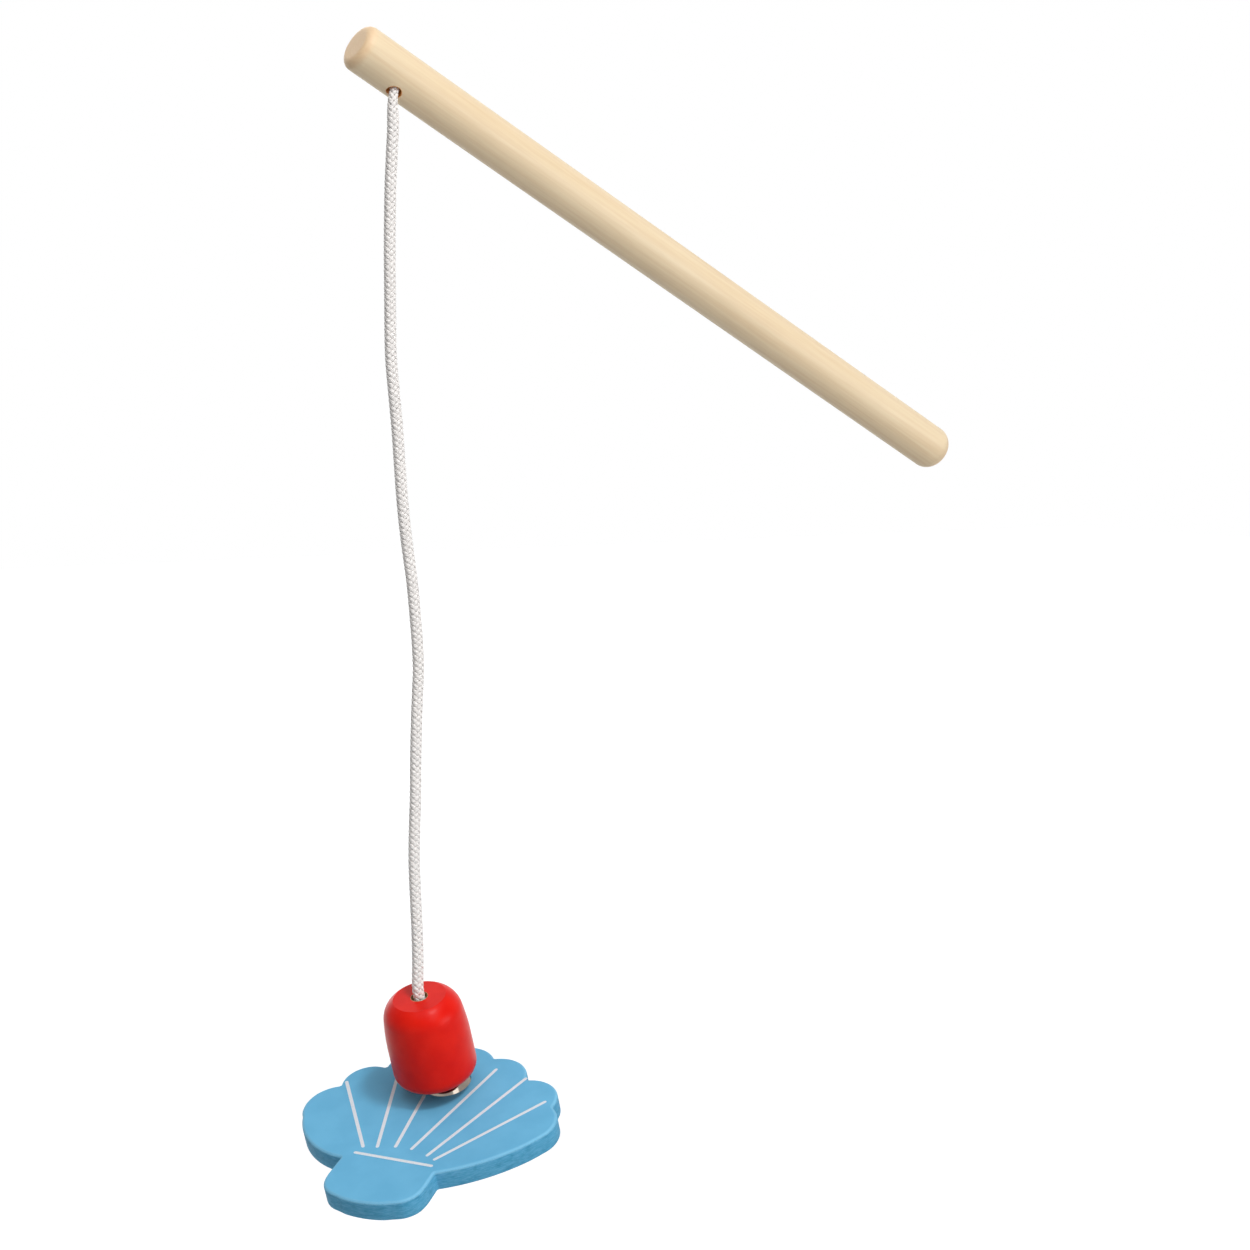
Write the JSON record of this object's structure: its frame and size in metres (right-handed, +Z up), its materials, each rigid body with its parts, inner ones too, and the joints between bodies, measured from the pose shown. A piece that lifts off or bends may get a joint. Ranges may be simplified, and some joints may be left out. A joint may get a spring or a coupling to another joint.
{
  "type": "magnetic fishing game",
  "caption": "Toy fishing rod: a wooden dowel with a white cord, a red magnet bead and a blue scallop shell that hangs from the bead by its steel stud.",
  "frame": {"origin": "on the rod's axis, in the middle of the hand grip near the butt end", "axes": "+Z up as the toy hangs, +X level and away from the tip, in the rod's upright plane"},
  "size_m": [0.1984, 0.0592, 0.2764],
  "materials": {
    "bare_wood": "sanded, satin",
    "cord": "white braid",
    "red_paint": "wood under satin red paint",
    "blue_paint": "wood under matte blue paint, white printed rays",
    "ferrite": "dull dark grey",
    "plated_steel": "polished",
    "nail_steel": "plain"
  },
  "bodies": {
    "rod": {"rod": "bare_wood", "cord_root": "cord"},
    "line_upper": {"cord_upper": "cord"},
    "line_lower": {"cord_lower": "cord"},
    "stopper": {"cord_knot": "cord"},
    "float": {"bead": "red_paint", "magnet": "ferrite"},
    "catch": {"shell": "blue_paint", "stud_cap": "plated_steel", "stud_nail": "nail_steel"}
  },
  "joints": [
    {"name": "line_swing", "type": "hinge", "parent": "rod", "child": "line_upper", "pos_m": [-0.13249, -0.00315, 0.06406], "axis": [0, 1, 0], "range_deg": [-40, 75]},
    {"name": "line_bend", "type": "hinge", "parent": "line_upper", "child": "line_lower", "pos_m": [-0.1301, -0.0048, -0.04194], "axis": [1, 0, 0], "range_deg": [-60, 60]},
    {"name": "bead_tilt", "type": "hinge", "parent": "line_lower", "child": "stopper", "pos_m": [-0.12879, -0.00571, -0.14744], "axis": [0.512, -0.859, 0], "range_deg": [-70, 30]},
    {"name": "bead_spin", "type": "hinge", "parent": "stopper", "child": "float", "pos_m": [-0.12879, -0.00571, -0.14744], "axis": [-0.3329, -0.1984, 0.9219], "continuous": true},
    {"name": "catch_pull", "type": "slide", "parent": "float", "child": "catch", "axis": [0.3329, 0.1984, -0.9219], "range_m": [0, 0.06]}
  ]
}
